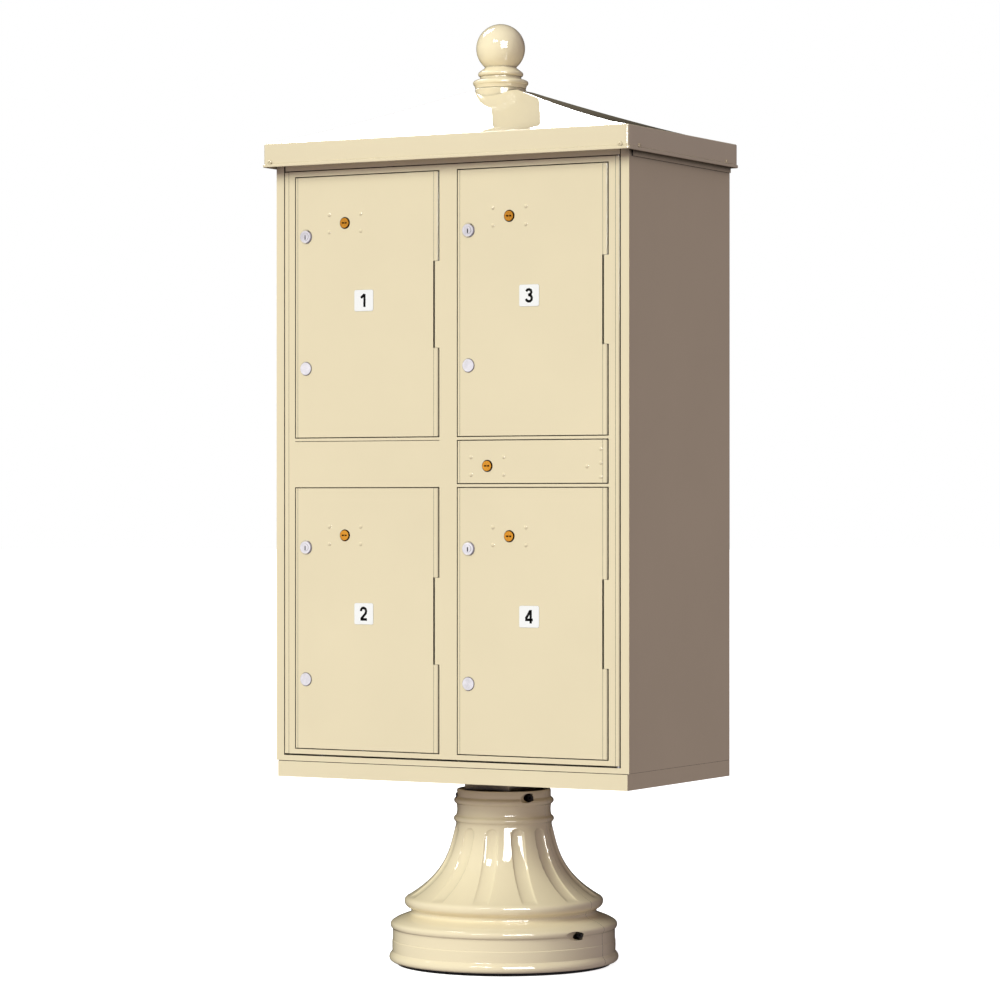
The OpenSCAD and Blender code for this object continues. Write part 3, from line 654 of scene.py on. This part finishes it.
DIGIT_H = 25.2
DIGIT_STROKE = 4.8
DIGIT_T = 0.25
DIGIT_SUNK = 0.05
LABEL_X = 155.0  # the label's middle, from the door's left and bottom edges
LABEL_Z = 263.0


def plate_piece(x, y, z):
    """A thin plate with round corners and an eased front edge."""
    bm = bmesh.new()
    loops = []
    for inset, depth in ((0.0, 0.0), (0.0, PLATE_T - 0.2), (0.2, PLATE_T)):
        points = []
        for sx, sz, a in ((1, -1, -90), (1, 1, 0), (-1, 1, 90), (-1, -1, 180)):
            corner_x = x + sx * (PLATE_W / 2 - PLATE_R)
            corner_z = z + sz * (PLATE_H / 2 - PLATE_R)
            points += circle(corner_x, corner_z, PLATE_R - inset, a, a + 90, 6)
        loops.append([bm.verts.new((px * MM, (y - depth) * MM, pz * MM)) for px, pz in points])
    join_loops(bm, loops)
    bm.faces.new(list(reversed(loops[0])))
    bm.faces.new(loops[-1])
    return bm


def digit_piece(value, x, y, z):
    """Raised strokes with mitred joints, standing on the plate."""
    bm = bmesh.new()
    for line in DIGITS[value]:
        points = [Vector((x + (u - 0.5) * DIGIT_W, z + (v - 0.5) * DIGIT_H)) for u, v in line]
        last = len(points) - 1
        left, right = [], []
        for i, p in enumerate(points):
            into = (p - points[i - 1]).normalized() if i else (points[1] - p).normalized()
            out = (points[i + 1] - p).normalized() if i < last else into
            middle_way = (into + out).normalized()
            normal = Vector((-middle_way.y, middle_way.x))
            square = normal.dot(Vector((-out.y, out.x)))
            half = DIGIT_STROKE / 2 / max(0.45, square)
            left.append(p + normal * half)
            right.append(p - normal * half)
        (l0, r0), (l1, r1) = [
            [
                [bm.verts.new((q.x * MM, (y - depth) * MM, q.y * MM)) for q in side]
                for side in (left, right)
            ]
            for depth in (0.0, DIGIT_T)
        ]
        for i in range(last):
            bm.faces.new((l1[i], l1[i + 1], r1[i + 1], r1[i]))
            bm.faces.new((l0[i + 1], l0[i], r0[i], r0[i + 1]))
            bm.faces.new((l0[i], l0[i + 1], l1[i + 1], l1[i]))
            bm.faces.new((r0[i + 1], r0[i], r1[i], r1[i + 1]))
        for i in (0, last):
            bm.faces.new((l0[i], l1[i], r1[i], r0[i]))
    return bm


for k in PARCEL_DOORS:
    door_lo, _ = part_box(f"door_{k}")
    x = door_lo.x / MM + LABEL_X
    y = door_lo.y / MM
    z = door_lo.z / MM + LABEL_Z
    door = f"parcel_door_{k}"
    digit_y = y - PLATE_T + DIGIT_SUNK
    put(f"label_{k}", plate_piece(x, y, z), LABEL, door, 20)
    put(f"number_{k}", digit_piece(k, x, digit_y, z), INK, door, 20)


# ---------- camera, floor and backdrop ----------

cam_data = bpy.data.cameras.new("camera")
cam = bpy.data.objects.new("camera", cam_data)
bpy.context.scene.collection.objects.link(cam)
bpy.context.scene.camera = cam
cam_data.sensor_width = 36.0
cam_data.lens = 132.2
cam.location = (3.5076, -6.2585, 0.904)
cam.rotation_euler = (math.radians(90), 0, math.radians(29.33))
cam_data.clip_end = 200

FLOOR_R = 60.0
BACKDROP_R = 90.0

# A wide, pale disc that glows a little, so that it comes out evenly light.
bm = bmesh.new()
bmesh.ops.create_circle(bm, cap_ends=True, radius=FLOOR_R, segments=128)
floor = add_object("floor", bm)
floor_mat = Nodes("studio_floor")
floor_tone = floor_mat.noise(2.0)
floor_mat.link(
    floor_mat.blend(floor_tone, (0.93, 0.93, 0.93), (0.96, 0.96, 0.96)),
    floor_mat.bsdf.inputs["Base Color"],
)
floor_mat.bsdf.inputs["Roughness"].default_value = 0.9
floor_mat.bsdf.inputs["Emission Strength"].default_value = 0.85
floor_mat.bsdf.inputs["Emission Color"].default_value = (1, 1, 1, 1)
floor.data.materials.append(floor_mat.mat)
floor.visible_diffuse = False
floor.visible_glossy = False

# A white backdrop that only the camera sees.
bm = bmesh.new()
bmesh.ops.create_uvsphere(bm, u_segments=64, v_segments=32, radius=BACKDROP_R)
backdrop = add_object("backdrop", bm)
back_mat = bpy.data.materials.new("studio_white")
back_mat.use_nodes = True
back_mat.node_tree.nodes.clear()
glow = back_mat.node_tree.nodes.new("ShaderNodeEmission")
glow.inputs["Strength"].default_value = 1.0
back_out = back_mat.node_tree.nodes.new("ShaderNodeOutputMaterial")
back_mat.node_tree.links.new(glow.outputs[0], back_out.inputs["Surface"])
backdrop.data.materials.append(back_mat)
for ray in ("diffuse", "glossy", "transmission", "volume_scatter", "shadow"):
    setattr(backdrop, f"visible_{ray}", False)


# ---------- light ----------

ROOM = 0.322
ROOM_TINT = (1.0, 0.877, 0.99)
AWAY = (-0.49, 0.872, 0.0)  # level, from the camera to the object and past it

world = bpy.data.worlds.new("world")
bpy.context.scene.world = world
world.use_nodes = True
tree = world.node_tree
tree.nodes.clear()
coord = tree.nodes.new("ShaderNodeTexCoord")


def world_ramp(value, stops):
    """A grey ramp over -1 to 1."""
    span = tree.nodes.new("ShaderNodeMapRange")
    span.inputs["From Min"].default_value = -1
    span.inputs["From Max"].default_value = 1
    ramp = tree.nodes.new("ShaderNodeValToRGB")
    while len(ramp.color_ramp.elements) < len(stops):
        ramp.color_ramp.elements.new(0.5)
    for element, (pos, level) in zip(ramp.color_ramp.elements, stops):
        element.position = (pos + 1) / 2
        element.color = (level, level, level, 1)
    tree.links.new(value, span.inputs["Value"])
    tree.links.new(span.outputs[0], ramp.inputs[0])
    return ramp.outputs[0]


def world_multiply():
    """A node that multiplies the colours at its inputs 6 and 7."""
    node = tree.nodes.new("ShaderNodeMix")
    node.data_type = "RGBA"
    node.blend_type = "MULTIPLY"
    node.inputs[0].default_value = 1.0
    return node


# An even room, darker below and behind the object, so that its outlines darken.
split = tree.nodes.new("ShaderNodeSeparateXYZ")
tree.links.new(coord.outputs["Generated"], split.inputs[0])
height = world_ramp(split.outputs["Z"], [(-1.0, 0.62), (-0.3, 0.85), (0.1, 1.0), (1.0, 1.0)])
facing = tree.nodes.new("ShaderNodeVectorMath")
facing.operation = "DOT_PRODUCT"
facing.inputs[1].default_value = AWAY
tree.links.new(coord.outputs["Generated"], facing.inputs[0])
behind = world_ramp(
    facing.outputs["Value"], [(-1.0, 1.0), (0.45, 1.0), (0.8, 0.08), (1.0, 0.02)]
)
both = world_multiply()
tree.links.new(height, both.inputs[6])
tree.links.new(behind, both.inputs[7])
tint = world_multiply()
tree.links.new(both.outputs[2], tint.inputs[6])
tint.inputs[7].default_value = (*ROOM_TINT, 1)
lit = tree.nodes.new("ShaderNodeBackground")
lit.inputs["Strength"].default_value = ROOM
tree.links.new(tint.outputs[2], lit.inputs["Color"])
world_out = tree.nodes.new("ShaderNodeOutputWorld")
tree.links.new(lit.outputs[0], world_out.inputs["Surface"])

MIDDLE = Vector((0, 0, 0.95))


def sun(name, energy, spread, colour, tilt, heading):
    """A far light that leaves no reflection. Tilt 0 shines straight down; all in degrees."""
    data = bpy.data.lights.new(name, "SUN")
    data.energy = energy
    data.angle = math.radians(spread)
    data.color = colour
    obj = bpy.data.objects.new(name, data)
    obj.rotation_euler = (math.radians(tilt), 0, math.radians(heading))
    obj.visible_glossy = False
    bpy.context.scene.collection.objects.link(obj)
    return obj


def panel(name, azimuth, elevation, distance, width, height, power):
    """A panel, seen only as a reflection, that faces the middle of the object.

    Azimuth 0 is in front and 90 to the object's right.
    """
    data = bpy.data.lights.new(name, "AREA")
    data.shape = "RECTANGLE"
    data.size = width
    data.size_y = height
    data.energy = power
    obj = bpy.data.objects.new(name, data)
    a, e = math.radians(azimuth), math.radians(elevation)
    out = Vector((math.sin(a) * math.cos(e), -math.cos(a) * math.cos(e), math.sin(e)))
    obj.location = MIDDLE + out * distance
    obj.rotation_euler = (-out).to_track_quat("-Z", "Y").to_euler()
    bpy.context.scene.collection.objects.link(obj)
    obj.visible_diffuse = False
    return obj


# The key comes from the front and misses the right side.
sun("key", 2.86, 36, (0.947, 1.0, 0.94), 57, -15)
# A weak fill from low in front, which opens up the shaded parts.
sun("fill", 0.26, 60, ROOM_TINT, 112, 30)
# Light for the back and the left side, along the view, so the camera's side never gets it.
sun("rear_key", 2.1, 20, (0.97, 0.96, 0.96), 87, 209.3)

# Lights for some surfaces only: two low fills, for the ball and for the base cover, whose
# neck stands in the cabinet's shade, and the panels.
LINKED = [
    (sun("ball_fill", 0.90, 70, (0.92, 0.98, 1.0), 112, 34), "ball_faces"),
    (sun("base_fill", 0.24, 70, (1.0, 0.98, 1.0), 112, 25), "base_faces"),
    (panel("window", 45, 22, 5.0, 2.7, 2.9, 540), "paint_faces"),
    (panel("small_window", 2, 38, 5.0, 1.7, 0.95, 112), "paint_faces"),
    (panel("left_panel", -97, 54, 6.0, 2.0, 3.0, 266), "paint_faces"),
    (panel("rear_panel", -139, 41, 6.0, 5.6, 3.7, 930), "roof_faces"),
    (panel("lock_panel", -29, 0, 5.0, 1.9, 1.9, 7.8), "lock_faces"),
]


def light_groups(obj):
    """The names of the groups of surfaces that a piece belongs to."""
    groups = ["lock_faces" if slots.get(obj.name) in ("chrome", "brass") else "paint_faces"]
    if obj.name.startswith("roof_"):
        groups.append("roof_faces")
    if obj == finial:
        groups.append("ball_faces")
    if obj in (front_half, back_half):
        groups.append("base_faces")
    return groups


GROUPS = ("paint_faces", "lock_faces", "roof_faces", "ball_faces", "base_faces")
receivers = {group: bpy.data.collections.new(group) for group in GROUPS}
for obj in bpy.context.scene.objects:
    if obj.type == "MESH" and obj not in (floor, backdrop):
        for group in light_groups(obj):
            receivers[group].objects.link(obj)
for light, group in LINKED:
    light.light_linking.receiver_collection = receivers[group]

scene = bpy.context.scene
scene.view_settings.view_transform = "Standard"
scene.view_settings.look = "None"
